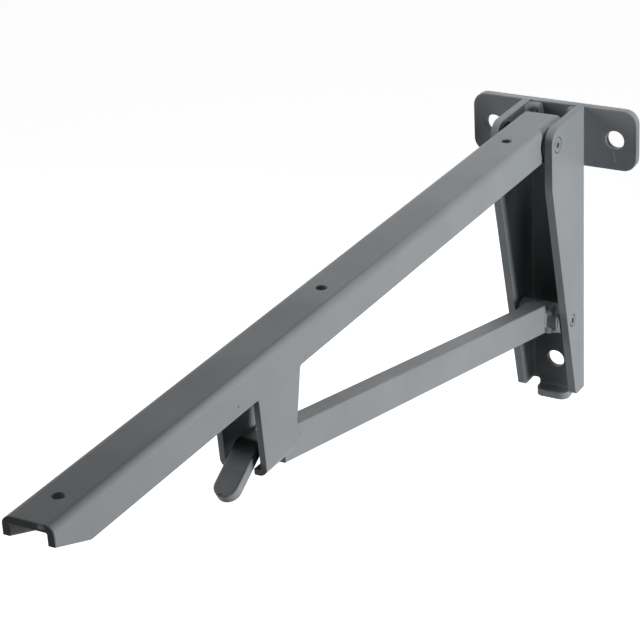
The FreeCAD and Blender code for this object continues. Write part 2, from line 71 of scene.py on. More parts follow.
class Side(Enum):
    """The two hands of the bracket, as signs along X."""

    LEFT = -1
    RIGHT = 1

    @property
    def word(self) -> str:
        """The side's name in lower case."""
        return self.name.lower()


def linear(hex_colour: str) -> tuple[float, float, float, float]:
    """Turns an sRGB hex colour into linear RGBA.

    Args:
        hex_colour: Six hex digits after a hash sign.

    Returns:
        The colour as Blender's sockets take it, with an alpha of 1.
    """
    channels = [int(hex_colour[at:at + 2], 16) / 255 for at in (1, 3, 5)]
    red, green, blue = (c / 12.92 if c <= 0.04045 else ((c + 0.055) / 1.055) ** 2.4 for c in channels)
    return (red, green, blue, 1.0)


def add_node(tree: bpy.types.NodeTree, kind: str, settings: dict | None = None,
             links: dict | None = None) -> bpy.types.Node:
    """Adds a shader node with its settings and incoming links.

    Args:
        tree: The node tree that gets the node.
        kind: The node's type name, without the "ShaderNode" in front.
        settings: Attributes by name, and socket values by the socket's name or number.
        links: The output socket to join to each input, by the input's name or number.

    Returns:
        The new node.
    """
    node = tree.nodes.new("ShaderNode" + kind)
    for name, value in (settings or {}).items():
        if isinstance(name, str) and hasattr(node, name):
            setattr(node, name, value)
        else:
            node.inputs[name].default_value = value
    for name, source in (links or {}).items():
        tree.links.new(source, node.inputs[name])
    return node


def per_metre(size_mm: float) -> float:
    """Gives the texture scale whose cells measure size_mm on Object coordinates."""
    return 1.0 / (size_mm * MM)


@dataclass(frozen=True)
class Mark:
    """A small spot laid into the coat's colour: wear, a dent, dirt, painted shade or a painted highlight.

    Attributes:
        centre_mm: Its middle, in the bracket's frame.
        radii_mm: Its half sizes along X, Y and Z.
        colour: What shows there.
        fade: Share of its half size over which it fades out.
        cover: How much of the colour shows in its middle.
    """

    centre_mm: tuple[float, float, float]
    radii_mm: tuple[float, float, float]
    colour: str
    fade: float = 0.6
    cover: float = 1.0

    def lay(self, tree: bpy.types.NodeTree, ragged: bpy.types.NodeSocket,
            under: bpy.types.NodeSocket) -> bpy.types.NodeSocket:
        """Lays the mark over a colour.

        Args:
            tree: The material's node tree.
            ragged: Object coordinates, slightly shaken so that edges aren't smooth.
            under: The colour below.

        Returns:
            The colour with the mark in it.
        """
        centre = [value * MM for value in self.centre_mm]
        radii = [value * MM for value in self.radii_mm]
        place = add_node(tree, "Mapping", {"vector_type": "TEXTURE", "Location": centre, "Scale": radii},
                         {"Vector": ragged})
        distance = add_node(tree, "VectorMath", {"operation": "LENGTH"}, {0: place.outputs["Vector"]})
        cover = add_node(tree, "MapRange", {"From Min": 1.0, "From Max": 1.0 - self.fade,
                                            "To Max": self.cover}, {"Value": distance.outputs["Value"]})
        return add_node(tree, "Mix", {"data_type": "RGBA", MIX_OVER: linear(self.colour)}, {
            MIX_FACTOR: cover.outputs["Result"], MIX_UNDER: under,
        }).outputs[MIX_RESULT]


@dataclass(frozen=True)
class PowderCoat:
    """Polyester powder coat, sprayed on blasted steel and baked.

    It melts into a satin skin about 0.1 mm thick that rounds every edge, with a faint orange peel,
    a fine grain and clouds of slightly thinner colour. It hides the steel's mill marks.

    Attributes:
        name: The material's name.
        colour: The pigment's colour.
        thin_colour: The colour in the clouds, where the coat is thinner.
        roughness: Mean roughness of the skin.
        rough_spread: How far the roughness strays with the clouds.
        ior: Index of refraction, which sets how much of the white surround the skin mirrors.
        cloud_mm: Size of the clouds.
        cloud_range: Noise levels between which the coat's colour turns from full to thin.
        sheen_range: Noise levels between which its roughness turns from low to high.
        peel_mm: Size of the orange peel's cells.
        peel_height_mm: Depth of the orange peel.
        grain_mm: Size of the grain, drawn coarser than the powder is, so that it shows.
        grain_height_mm: Depth of the grain.
        edge_mm: Radius that the coat gives to a sharp edge.
        speck_mm: Spacing of the specks of dust.
        speck_size: A speck's radius, as a share of that spacing.
        speck_core: Share of a speck that is fully dark.
        dust: Colour of the specks.
        ragged_mm: How far the edge of a mark strays.
        ragged_cell_mm: Size of the notches in that edge.
        marks: Worn or dirty spots, painted shade and painted highlights.
        seed: How far the patterns are shifted, so that no two finishes look alike.
    """

    name: str
    colour: str = "#8A8E91"
    thin_colour: str = "#85898C"
    roughness: float = 0.50
    rough_spread: float = 0.04
    ior: float = 1.27
    cloud_mm: float = 34.0
    cloud_range: tuple[float, float] = (0.35, 0.70)
    sheen_range: tuple[float, float] = (0.3, 0.7)
    peel_mm: float = 2.2
    peel_height_mm: float = 0.016
    grain_mm: float = 0.45
    grain_height_mm: float = 0.010
    edge_mm: float = 0.45
    speck_mm: float = 26.0
    speck_size: float = 0.012
    speck_core: float = 0.6
    dust: str = "#3A3B3C"
    ragged_mm: float = 0.4
    ragged_cell_mm: float = 1.5
    marks: tuple[Mark, ...] = ()
    seed: float = 0.0

    def build(self) -> bpy.types.Material:
        """Makes the material.

        Returns:
            A node material on Object coordinates.
        """
        material = bpy.data.materials.new(self.name)
        material.use_nodes = True
        tree = material.node_tree
        tree.nodes.clear()
        coords = add_node(tree, "TexCoord").outputs["Object"]
        shift = [self.seed * share for share in PATTERN_SHIFT]
        place = add_node(tree, "Mapping", {"Location": shift}, {"Vector": coords}).outputs["Vector"]
        clouds = add_node(tree, "TexNoise", {"Scale": per_metre(self.cloud_mm), "Detail": 4.0,
                                             "Roughness": 0.6}, {"Vector": place}).outputs["Fac"]
        colour = self.wear_of(tree, coords, self.colour_of(tree, place, clouds))
        shade = add_node(tree, "BsdfPrincipled", {"IOR": self.ior, "Metallic": 0.0}, {
            "Base Color": colour,
            "Roughness": self.roughness_of(tree, clouds),
            "Normal": self.relief_of(tree, place),
        })
        add_node(tree, "OutputMaterial", None, {"Surface": shade.outputs["BSDF"]})
        return material

    def colour_of(self, tree: bpy.types.NodeTree, place: bpy.types.NodeSocket,
                  clouds: bpy.types.NodeSocket) -> bpy.types.NodeSocket:
        """Adds the pigment: cloudy where the coat is thinner, with a few dark specks of dust.

        Args:
            tree: The material's node tree.
            place: Object coordinates, shifted by the seed.
            clouds: How thin the coat is, from 0 to 1.

        Returns:
            The colour.
        """
        full, thin = self.cloud_range
        amount = add_node(tree, "MapRange", {"From Min": full, "From Max": thin}, {"Value": clouds})
        pigment = add_node(tree, "Mix", {
            "data_type": "RGBA", MIX_UNDER: linear(self.colour), MIX_OVER: linear(self.thin_colour),
        }, {MIX_FACTOR: amount.outputs["Result"]})
        cells = add_node(tree, "TexVoronoi", {"Scale": per_metre(self.speck_mm)}, {"Vector": place})
        speck = add_node(tree, "MapRange", {
            "From Min": self.speck_size, "From Max": self.speck_size * self.speck_core,
        }, {"Value": cells.outputs["Distance"]})
        return add_node(tree, "Mix", {"data_type": "RGBA", MIX_OVER: linear(self.dust)}, {
            MIX_FACTOR: speck.outputs["Result"], MIX_UNDER: pigment.outputs[MIX_RESULT],
        }).outputs[MIX_RESULT]

    def wear_of(self, tree: bpy.types.NodeTree, coords: bpy.types.NodeSocket,
                colour: bpy.types.NodeSocket) -> bpy.types.NodeSocket:
        """Lays the finish's own marks over its colour, each with a ragged edge.

        Args:
            tree: The material's node tree.
            coords: Object coordinates.
            colour: The colour below.

        Returns:
            The colour with the marks in it.
        """
        if not self.marks:
            return colour
        shake = add_node(tree, "TexNoise", {"Scale": per_metre(self.ragged_cell_mm)}, {"Vector": coords})
        amount = [self.ragged_mm * MM] * 3
        ragged = add_node(tree, "VectorMath", {"operation": "MULTIPLY_ADD", 1: amount},
                          {0: shake.outputs["Color"], 2: coords}).outputs["Vector"]
        for mark in self.marks:
            colour = mark.lay(tree, ragged, colour)
        return colour

    def roughness_of(self, tree: bpy.types.NodeTree,
                     clouds: bpy.types.NodeSocket) -> bpy.types.NodeSocket:
        """Adds the sheen: a little glossier where the coat flowed better.

        Args:
            tree: The material's node tree.
            clouds: How thin the coat is, from 0 to 1.

        Returns:
            The roughness.
        """
        full, thin = self.sheen_range
        return add_node(tree, "MapRange", {
            "From Min": full, "From Max": thin,
            "To Min": self.roughness - self.rough_spread, "To Max": self.roughness + self.rough_spread,
        }, {"Value": clouds}).outputs["Result"]

    def relief_of(self, tree: bpy.types.NodeTree, place: bpy.types.NodeSocket) -> bpy.types.NodeSocket:
        """Adds the relief: soft coated edges, then orange peel, then grain.

        Args:
            tree: The material's node tree.
            place: Object coordinates, shifted by the seed.

        Returns:
            The normal.
        """
        soft = add_node(tree, "Bevel", {"samples": 6, "Radius": self.edge_mm * MM}).outputs["Normal"]
        peel = add_node(tree, "TexNoise", {"Scale": per_metre(self.peel_mm), "Detail": 1.0},
                        {"Vector": place})
        rolled = add_node(tree, "Bump", {"Distance": self.peel_height_mm * MM},
                          {"Height": peel.outputs["Fac"], "Normal": soft})
        grain = add_node(tree, "TexNoise", {"Scale": per_metre(self.grain_mm), "Detail": 3.0},
                         {"Vector": place})
        return add_node(tree, "Bump", {"Distance": self.grain_height_mm * MM}, {
            "Height": grain.outputs["Fac"], "Normal": rolled.outputs["Normal"],
        }).outputs["Normal"]


@dataclass(frozen=True)
class RivetCoat(PowderCoat):
    """The same coat over a riveted pin: it breaks in the joint round the pin and pools in the dimple.

    Both catch dirt, which draws a dark broken ring and a dark dot in the middle.

    Attributes:
        axis_mm: The pin's place along Y and Z.
        groove_mm: Radius of the joint.
        groove_width_mm: Half the width of the dirt in the joint.
        groove_core: Share of that width that is fully dark.
        break_mm: Size of the breaks in the ring.
        break_range: Noise levels between which the ring turns from broken to whole.
        dimple_mm: Radius of the dimple.
        dimple_core: Share of that radius that is fully dark.
        dimple_cover: How much of the dirt's colour shows in the dimple.
        dirt: Colour of the dirt.
    """

    axis_mm: tuple[float, float] = (0.0, 0.0)
    groove_mm: float = 3.6
    groove_width_mm: float = 0.5
    groove_core: float = 0.3
    break_mm: float = 4.0
    break_range: tuple[float, float] = (0.36, 0.50)
    dimple_mm: float = 1.75
    dimple_core: float = 0.6
    dimple_cover: float = 0.95
    dirt: str = "#26282A"

    def wear_of(self, tree: bpy.types.NodeTree, coords: bpy.types.NodeSocket,
                colour: bpy.types.NodeSocket) -> bpy.types.NodeSocket:
        """Lays dirt in the joint and in the dimple.

        Args:
            tree: The material's node tree.
            coords: Object coordinates.
            colour: The colour below.

        Returns:
            The colour with the dirt in it.
        """
        behind = (0.0, -self.axis_mm[0] * MM, -self.axis_mm[1] * MM)
        across = add_node(tree, "Mapping", {"Location": behind, "Scale": (0.0, 1.0, 1.0)},
                          {"Vector": coords})
        radius = add_node(tree, "VectorMath", {"operation": "LENGTH"},
                          {0: across.outputs["Vector"]}).outputs["Value"]
        apart = add_node(tree, "Math", {"operation": "SUBTRACT", 1: self.groove_mm * MM}, {0: radius})
        off = add_node(tree, "Math", {"operation": "ABSOLUTE"}, {0: apart.outputs[0]})
        groove = add_node(tree, "MapRange", {
            "From Min": self.groove_width_mm * MM, "From Max": self.groove_width_mm * MM * self.groove_core,
        }, {"Value": off.outputs[0]})
        breaks = add_node(tree, "TexNoise", {"Scale": per_metre(self.break_mm)}, {"Vector": coords})
        gone, whole = self.break_range
        kept = add_node(tree, "MapRange", {"From Min": gone, "From Max": whole},
                        {"Value": breaks.outputs["Fac"]})
        broken = add_node(tree, "Math", {"operation": "MULTIPLY"},
                          {0: groove.outputs["Result"], 1: kept.outputs["Result"]})
        ringed = add_node(tree, "Mix", {"data_type": "RGBA", MIX_OVER: linear(self.dirt)}, {
            MIX_FACTOR: broken.outputs[0], MIX_UNDER: colour,
        })
        pool = add_node(tree, "MapRange", {
            "From Min": self.dimple_mm * MM, "From Max": self.dimple_mm * MM * self.dimple_core,
            "To Max": self.dimple_cover,
        }, {"Value": radius})
        return add_node(tree, "Mix", {"data_type": "RGBA", MIX_OVER: linear(self.dirt)}, {
            MIX_FACTOR: pool.outputs["Result"], MIX_UNDER: ringed.outputs[MIX_RESULT],
        }).outputs[MIX_RESULT]


# A pale colour for worn edges and for painted highlights.
PALE_WEAR_AND_HIGHLIGHT = "#A9ACAD"
BARE_SCUFF = "#AEB1B2"
# A near-black colour for painted deep shade and the arm's painted shadow.
PAINTED_DEEP_SHADE = "#1B1D1F"
# A dark colour, laid as painted shade in recesses, in corners and on faces turned from the lamps.
PAINTED_SHADE = "#3E4143"
DUST = "#2F3132"
# Painted shade darkens the recesses: deep in the channel, on the left cheek's inner face and on top of its tab.
SHEET_COAT = PowderCoat("powder_coat_on_folded_sheet", marks=(
    Mark((0.0, -3.6, -92.0), (15.0, 3.0, 58.0), PAINTED_SHADE, fade=0.6, cover=0.8),
    Mark((-11.4, -12.0, -50.0), (2.6, 14.0, 48.0), PAINTED_SHADE, fade=0.8, cover=0.8),
    Mark((0.0, -7.0, -130.2), (9.0, 5.0, 1.6), PAINTED_SHADE, fade=0.5, cover=0.55),
))
# Painted shade darkens the left ear, the corner between the cheeks and the plate's right edge,
# and a painted highlight makes the top edge paler.
# A screw's head has rubbed the coat round and below the right fixing hole.
PLATE_COAT = PowderCoat("powder_coat_on_plate", seed=0.09, marks=(
    Mark((-14.0, -1.8, 14.4), (28.0, 2.8, 0.8), PALE_WEAR_AND_HIGHLIGHT, fade=0.5, cover=0.55),
    Mark((0.0, -3.6, 5.0), (10.0, 1.5, 14.0), PAINTED_SHADE, fade=0.6, cover=0.5),
    Mark((-40.0, -3.6, -6.0), (17.0, 3.0, 24.0), PAINTED_SHADE, fade=1.0, cover=0.95),
    Mark((40.3, -1.8, -1.0), (1.4, 3.5, 13.0), PAINTED_SHADE, fade=0.5, cover=0.35),
    Mark((24.9, -3.6, 0.3), (1.1, 1.2, 4.0), BARE_SCUFF, fade=0.8, cover=0.35),
    Mark((29.9, -3.6, -6.6), (0.6, 1.0, 2.0), BARE_SCUFF, cover=0.7),
    Mark((30.5, -3.6, -9.4), (0.7, 1.0, 1.8), BARE_SCUFF, cover=0.65),
))
# Grease and the dust in it blacken the washers in the arm's joint.
WASHER_COAT = PowderCoat("greasy_steel_washers", colour="#2B2D2E", thin_colour="#232526", roughness=0.42,
                         seed=0.66)
# A speck of dust lies under the coat on the arm's side, and a painted highlight makes the outer half of
# its right fold paler. Painted shade darkens the sawn end, apart from a rubbed spot on its upper edge.
ARM_COAT = PowderCoat("powder_coat_on_arm", seed=0.31, marks=(
    Mark((9.0, -310.0, 12.6), (2.6, 130.0, 2.6), PALE_WEAR_AND_HIGHLIGHT, fade=1.0, cover=0.75),
    Mark((10.0, -299.4, 3.0), (1.0, 0.55, 0.55), DUST, fade=0.4),
    Mark((0.0, -410.2, 5.0), (30.0, 1.8, 30.0), PAINTED_DEEP_SHADE, fade=0.5, cover=1.0),
    Mark((5.4, -409.9, 12.8), (1.9, 1.6, 1.3), PALE_WEAR_AND_HIGHLIGHT, cover=0.75),
))
# Painted shadow of the arm darkens the strut's end and the tongue's neck where they slide in the nose.
STRUT_COAT = PowderCoat("powder_coat_on_strut", seed=0.57, marks=(
    Mark((0.0, -277.0, -24.0), (16.0, 9.5, 16.0), PAINTED_DEEP_SHADE, fade=0.4, cover=0.9),
))
# Painted shadow of the arm darkens the tongue's neck, and a painted highlight lightens its top near the tip.
# Thumbs have worn the tip, pale at the edge and with two small dark dents.
TONGUE_COAT = PowderCoat("powder_coat_on_tongue", seed=0.44, edge_mm=0.9, marks=(
    Mark((0.0, -274.0, -26.0), (16.0, 15.5, 15.0), PAINTED_DEEP_SHADE, fade=0.4, cover=0.92),
    Mark((0.0, -296.5, -33.5), (9.0, 6.0, 6.0), PALE_WEAR_AND_HIGHLIGHT, fade=1.0, cover=0.5),
    Mark((0.8, -300.9, -36.3), (4.8, 1.8, 1.7), PALE_WEAR_AND_HIGHLIGHT, fade=0.9, cover=0.85),
    Mark((-0.6, -299.9, -34.9), (1.6, 1.0, 0.7), DUST, cover=0.7),
    Mark((1.5, -301.4, -37.0), (0.8, 1.0, 0.45), DUST, cover=0.8),
))
WELD_COAT = PowderCoat("powder_coat_on_welds", seed=0.12, roughness=0.52, grain_mm=0.9,
                       grain_height_mm=0.05, edge_mm=0.3)


def deselect_all() -> None:
    """Clears the selection, so that an operator acts only on what is picked next."""
    bpy.ops.object.select_all(action="DESELECT")


def dress(piece: bpy.types.Object, material: bpy.types.Material) -> None:
    """Gives a piece its one material and reports it.

    Args:
        piece: The finished piece.
        material: Its finish.
    """
    piece.data.materials.clear()
    piece.data.materials.append(material)
    log.info("%s: %s", piece.name, material.name)


@dataclass
class Puddle:
    """One weld puddle: a flattened drop of metal.

    Attributes:
        centre: Its middle, in metres.
        radii: Its half sizes along X, Y and Z, in metres.
    """

    centre: Vector
    radii: tuple[float, float, float]


@dataclass
class WeldBead:
    """A hand-laid bead: overlapping puddles, melted together.

    Attributes:
        name: The piece's name.
        node: The plain solid that the bead stands for.
        body: The body that it rides on.
        puddles: Its puddles, in the order they were laid.
        melt_mm: Cell size of the mesh that melts them together.
        flow_steps: How often the melted mesh is smoothed.
    """

    name: str
    node: str
    body: Body
    puddles: list[Puddle] = field(default_factory=list)
    melt_mm: float = 0.22
    flow_steps: int = 3

    def build(self, material: bpy.types.Material) -> bpy.types.Object:
        """Melts the puddles into one mesh, with its place in the mesh.

        Args:
            material: The bead's finish.

        Returns:
            The finished bead, riding on its body.
        """
        deselect_all()
        drops = [self.add_drop(puddle) for puddle in self.puddles]
        for drop in drops:
            drop.select_set(True)
        bead = drops[0]
        bpy.context.view_layer.objects.active = bead
        bpy.ops.object.join()
        bead.name = self.name
        bead.data.name = self.name
        bpy.ops.object.transform_apply(location=True, rotation=True, scale=True)
        melt = bead.modifiers.new("melt", "REMESH")
        melt.mode = "VOXEL"
        melt.voxel_size = self.melt_mm * MM
        bpy.ops.object.modifier_apply(modifier=melt.name)
        flow = bead.modifiers.new("flow", "SMOOTH")
        flow.factor = 0.5
        flow.iterations = self.flow_steps
        bpy.ops.object.modifier_apply(modifier=flow.name)
        bpy.ops.object.shade_smooth()
        dress(bead, material)
        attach(bead, self.body.value)
        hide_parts(self.node)
        log.info("weld %s: %d puddles, %d faces", self.name, len(self.puddles), len(bead.data.polygons))
        return bead

    def add_drop(self, puddle: Puddle) -> bpy.types.Object:
        """Adds one flattened ball at a puddle's place.

        Args:
            puddle: The drop's place and size.

        Returns:
            The ball, deselected.
        """
        bpy.ops.mesh.primitive_uv_sphere_add(segments=24, ring_count=16, radius=1.0, location=puddle.centre)
        drop = bpy.context.object
        drop.scale = puddle.radii
        bpy.ops.object.transform_apply(location=True, rotation=True, scale=True)
        drop.select_set(False)
        return drop


@dataclass(frozen=True)
class Run:
    """Weld metal that ran down the plate before it froze.

    Attributes:
        out_mm: Its distance from the cheek.
        proud_mm: How far it stands out from the plate.
        half_width_mm: Half its width.
        half_length_mm: Half its length, counted down from the seam's top.
    """

    out_mm: float
    proud_mm: float
    half_width_mm: float
    half_length_mm: float


@dataclass
class WallBracket:
    """The welded wall bracket: plate, channel, pins, washers and the welds behind the cheeks.

    Attributes:
        puddle_pitch_mm: Step between two puddles of the plate's welds.
        puddle_mm: Mean radius of a puddle.
        puddle_inset_mm: How far a puddle's middle lies out of the corner, so that it stays in the steel.
        puddle_depth: A puddle's half size out of the plate, as a share of its radius.
        puddle_height: A puddle's half height, as a share of the step.
        first_height: Height of the lowest puddle's middle above the seam's foot, in steps.
        spread: Share by which puddles differ.
        runs: The broad crown at the top of each seam, and the runs below the left one.
        ring_inset_mm: How far inside a pin's edge its dark ring lies.
    """

    puddle_pitch_mm: float = 2.6
    puddle_mm: float = 2.6
    puddle_inset_mm: float = 1.0
    puddle_depth: float = 0.9
    puddle_height: float = 0.8
    first_height: float = 0.75
    spread: float = 0.16
    runs: dict[Side, tuple[Run, ...]] = field(default_factory=lambda: {
        Side.LEFT: (Run(0.0, 7.6, 1.8, 3.6), Run(1.2, 4.8, 2.2, 2.4), Run(3.6, 4.2, 3.0, 2.4),
                    Run(1.1, 5.2, 1.7, 6.0), Run(3.5, 5.0, 1.3, 6.0), Run(5.5, 4.2, 1.3, 6.0),
                    Run(1.4, 4.8, 1.6, 9.0), Run(3.6, 4.6, 1.1, 9.0), Run(5.4, 4.0, 1.1, 8.5)),
        Side.RIGHT: (Run(1.8, 2.6, 2.8, 3.0),),
    })
    ring_inset_mm: float = 0.15

    def build(self, weld: bpy.types.Material) -> None:
        """Dresses the CAD pieces and lays the two welds.

        Args:
            weld: The welds' finish.
        """
        dress(frame["nodes"]["mounting_plate"], PLATE_COAT.build())
        dress(frame["nodes"]["wall_channel"], SHEET_COAT.build())
        washer = WASHER_COAT.build()
        for side in Side:
            dress(frame["nodes"][f"arm_washer_{side.word}"], washer)
        for name, joint in (("upper_pivot_pin", "arm_fold"), ("lower_pivot_pin", "strut_fold")):
            dress(frame["nodes"][name], self.rivet_coat(name, joint).build())
        for side in Side:
            self.plate_weld(side).build(weld)

    def rivet_coat(self, node: str, joint_name: str) -> RivetCoat:
        """Fits the rivets' finish to one pin.

        Args:
            node: The pin's node.
            joint_name: The joint that turns on it.

        Returns:
            The finish, with its dark ring on the joint's axis.
        """
        joint = next(joint for joint in frame["joints"] if joint["name"] == joint_name)
        low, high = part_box(node)
        radius_mm = (high.z - low.z) / 2 / MM
        place = (joint["pos_m"][1] / MM, joint["pos_m"][2] / MM)
        return RivetCoat(f"powder_coat_on_{node}", seed=0.83, edge_mm=0.2, axis_mm=place,
                         groove_mm=radius_mm - self.ring_inset_mm)

    def plate_weld(self, side: Side) -> WeldBead:
        """Lays the bead in the corner between a cheek and the mounting plate.

        Args:
            side: The cheek's side.

        Returns:
            The bead, not yet melted.
        """
        node = f"plate_weld_{side.word}"
        low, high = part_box(node)
        corner_x = high.x if side is Side.RIGHT else low.x
        corner_y = high.y
        size = self.puddle_mm * MM
        inset = self.puddle_inset_mm * MM
        pitch = self.puddle_pitch_mm * MM
        draw = random.Random(node)
        count = int((high.z - low.z) / pitch)
        puddles = []
        for index in range(count):
            grow = 1 + draw.uniform(-self.spread, self.spread)
            height = low.z + pitch * (index + self.first_height)
            centre = Vector((corner_x - side.value * inset, corner_y - inset, height))
            radii = (size * grow, size * grow * self.puddle_depth, pitch * self.puddle_height)
            puddles.append(Puddle(centre, radii))
        for run in self.runs[side]:
            half_length = run.half_length_mm * MM
            # Its middle lies a third of its depth out of the plate, so that its back stays in the steel.
            third = run.proud_mm * MM / 3
            place = corner_x - side.value * run.out_mm * MM
            centre = Vector((place, corner_y - third, high.z - half_length))
            puddles.append(Puddle(centre, (run.half_width_mm * MM, third * 2, half_length)))
        return WeldBead(f"plate_bead_{side.word}", node, Body.WALL, puddles)


@dataclass
class Arm:
    """The folded arm that carries the shelf."""

    def build(self) -> None:
        """Dresses the arm."""
        dress(frame["nodes"]["arm_channel"], ARM_COAT.build())


@dataclass
class Strut:
    """The strut with its bush, tongue and the welds round the bush.

    Attributes:
        puddle_turns_deg: Where the lumps lie round the bush, counted up from the strut's line.
        puddle_mm: Mean radius of a lump.
        puddle_shift: How far a lump's middle lies beside the strut, as a share of its radius.
        puddle_sink: How deep it lies in the bush, as a share of its radius.
        puddle_length: A lump's half length along the bush, as a share of its radius.
        fillet_turns_deg: Start, end and step of the thinner bead between the lumps, along the strut's end.
        fillet_mm: Radius of that bead.
        fillet_bite: How deep its middle lies in the strut, as a share of its radius.
        fillet_depth: Its half size along the strut, as a share of its radius.
        bridge_turn_deg: Where metal runs on to the bush's end, below the strut's line.
        bridge_reach: Share of the bush's end that it covers.
        bridge_size: Its radius, as a share of the rim's.
        rim_turns_deg: First and last place of the thin rim at the bush's end.
        rim_count: Number of drops in that rim.
        rim_mm: Radius of that rim.
        rim_inset: How far its middle lies inside the bush's end, as a share of its radius.
        rim_sink: How deep it lies in the bush, as a share of its radius.
        spread: Share by which lumps differ.
        flow_steps: How often the welds are smoothed.
    """

    puddle_turns_deg: tuple[float, ...] = (-60.0, -52.0, -42.0, 36.0, 44.0)
    puddle_mm: float = 2.1
    puddle_shift: float = 0.35
    puddle_sink: float = 0.25
    puddle_length: float = 1.3
    fillet_turns_deg: tuple[int, int, int] = (-36, 36, 8)
    fillet_mm: float = 1.4
    fillet_bite: float = 0.4
    fillet_depth: float = 1.2
    bridge_turn_deg: float = -46.0
    bridge_reach: float = 0.95
    bridge_size: float = 1.6
    rim_turns_deg: tuple[float, float] = (-46.0, 22.0)
    rim_count: int = 8
    rim_mm: float = 1.0
    rim_inset: float = 1.3
    rim_sink: float = 0.4
    spread: float = 0.2
    flow_steps: int = 10

    def build(self, weld: bpy.types.Material) -> None:
        """Dresses the strut's pieces and lays its two welds.

        Args:
            weld: The welds' finish.
        """
        coat = STRUT_COAT.build()
        for name in ("strut_bar", "strut_foot_bush"):
            dress(frame["nodes"][name], coat)
        dress(frame["nodes"]["release_tongue"], TONGUE_COAT.build())
        for side in Side:
            self.foot_weld(side).build(weld)

    def foot_weld(self, side: Side) -> WeldBead:
        """Lays the bead round the bush beside the strut.

        Args:
            side: The strut's side.

        Returns:
            The bead, not yet melted.
        """
        node = f"strut_weld_{side.word}"
        draw = random.Random(node)
        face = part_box("strut_bar")[1].x
        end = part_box("strut_foot_bush")[1].x
        puddles = []
        for turn in self.puddle_turns_deg:
            size = self.puddle_mm * MM * (1 + draw.uniform(-self.spread, self.spread))
            place = (face + size * self.puddle_shift) * side.value
            centre = self.on_bush(turn, place, -size * self.puddle_sink)
            puddles.append(Puddle(centre, (size * self.puddle_length, size, size)))
        for turn in range(*self.fillet_turns_deg):
            size = self.fillet_mm * MM * (1 + draw.uniform(-self.spread, self.spread) / 2)
            centre = self.on_bush(turn, (face - size * self.fillet_bite) * side.value, 0.0)
            puddles.append(Puddle(centre, (size, size * self.fillet_depth, size)))
        rim = self.rim_mm * MM
        span = (end - face) / 2
        bridge = self.on_bush(self.bridge_turn_deg, (face + span) * side.value, -rim * self.rim_sink)
        radii = (span * self.bridge_reach, rim * self.bridge_size, rim * self.bridge_size)
        puddles.append(Puddle(bridge, radii))
        first, last = self.rim_turns_deg
        for index in range(self.rim_count):
            turn = first + (last - first) * index / (self.rim_count - 1)
            size = rim * (1 + draw.uniform(-self.spread, self.spread))
            centre = self.on_bush(turn, (end - rim * self.rim_inset) * side.value, -size * self.rim_sink)
            puddles.append(Puddle(centre, (size, size, size)))
        return WeldBead(f"foot_bead_{side.word}", node, Body.STRUT, puddles, flow_steps=self.flow_steps)

    def on_bush(self, turn_deg: float, x: float, out: float) -> Vector:
        """Finds a place on the bush.

        Args:
            turn_deg: How far round, up from the strut's line.
            x: The place along the bush.
            out: How far outside the bush's surface.

        Returns:
            The place in the bracket's frame.
        """
        low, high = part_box("strut_foot_bush")
        middle = (low + high) / 2
        radius = (high.z - low.z) / 2 + out
        angle = self.lean_of_strut() + math.radians(turn_deg)
        return Vector((x, middle.y - radius * math.cos(angle), middle.z + radius * math.sin(angle)))

    def lean_of_strut(self) -> float:
        """Works out the strut's lean at rest, from its turn when the arm is folded.

        Returns:
            The angle between the strut and the horizontal, in radians.
        """
        joints = {joint["name"]: joint for joint in frame["joints"]}
        ratio = frame["record"]["behaviour"]["couplings"][0]["ratio"]
        fold = joints["arm_fold"]["range_deg"][1]
        # When folded, the strut hangs straight down.
        return math.radians(ratio * fold - 90)


@dataclass(frozen=True)
class Viewpoint:
    """Where the camera stands, as fitted to the outlines of the object.

    Attributes:
        place_mm: The lens's place in the bracket's frame.
        azimuth_deg: Turn of the view about Z, from straight on.
        elevation_deg: How far the camera looks down.
        roll_deg: Tilt of the picture.
        lens_mm: Focal length.
        sensor_mm: Width of the sensor that goes with it.
    """

    place_mm: tuple[float, float, float] = (385.27, -873.45, 358.89)
    azimuth_deg: float = 30.648
    elevation_deg: float = 25.334
    roll_deg: float = -3.31
    lens_mm: float = 123.6
    sensor_mm: float = 36.0

    def set_up(self) -> None:
        """Creates the camera and makes it the scene's."""
        azimuth = math.radians(self.azimuth_deg)
        elevation = math.radians(self.elevation_deg)
        roll = math.radians(self.roll_deg)
        back = Vector((math.sin(azimuth) * math.cos(elevation), -math.cos(azimuth) * math.cos(elevation),
                       math.sin(elevation)))
        level = Vector((math.cos(azimuth), math.sin(azimuth), 0.0))
        upright = back.cross(level)
        right = level * math.cos(roll) + upright * math.sin(roll)
        up = upright * math.cos(roll) - level * math.sin(roll)
        camera = bpy.data.objects.new("camera", bpy.data.cameras.new("camera"))
        bpy.context.scene.collection.objects.link(camera)
        turn = Matrix((right, up, back)).transposed()
        camera.matrix_world = Matrix.Translation(Vector(self.place_mm) * MM) @ turn.to_4x4()
        camera.data.lens = self.lens_mm
        camera.data.sensor_width = self.sensor_mm
        camera.data.clip_start = 0.01
        camera.data.clip_end = 100.0
        camera.data.dof.use_dof = False
        bpy.context.scene.camera = camera


@dataclass(frozen=True)
class SoftBox:
    """A soft studio lamp.

    Attributes:
        name: The lamp's name.
        place: Its centre, in metres.
        aim: The point that it faces.
        width: Its width in metres.
        height: Its height in metres.
        watts: Its power.
    """

    name: str
    place: tuple[float, float, float]
    aim: tuple[float, float, float]
    width: float
    height: float
    watts: float

    def hang(self) -> None:
        """Adds the lamp and points it."""
        light = bpy.data.lights.new(self.name, "AREA")
        light.shape = "RECTANGLE"
        light.size = self.width
        light.size_y = self.height
        light.energy = self.watts
        lamp = bpy.data.objects.new(self.name, light)
        bpy.context.scene.collection.objects.link(lamp)
        direction = Vector(self.aim) - Vector(self.place)
        lamp.location = self.place
        lamp.rotation_euler = direction.to_track_quat("-Z", "Y").to_euler()
        lamp.visible_camera = False


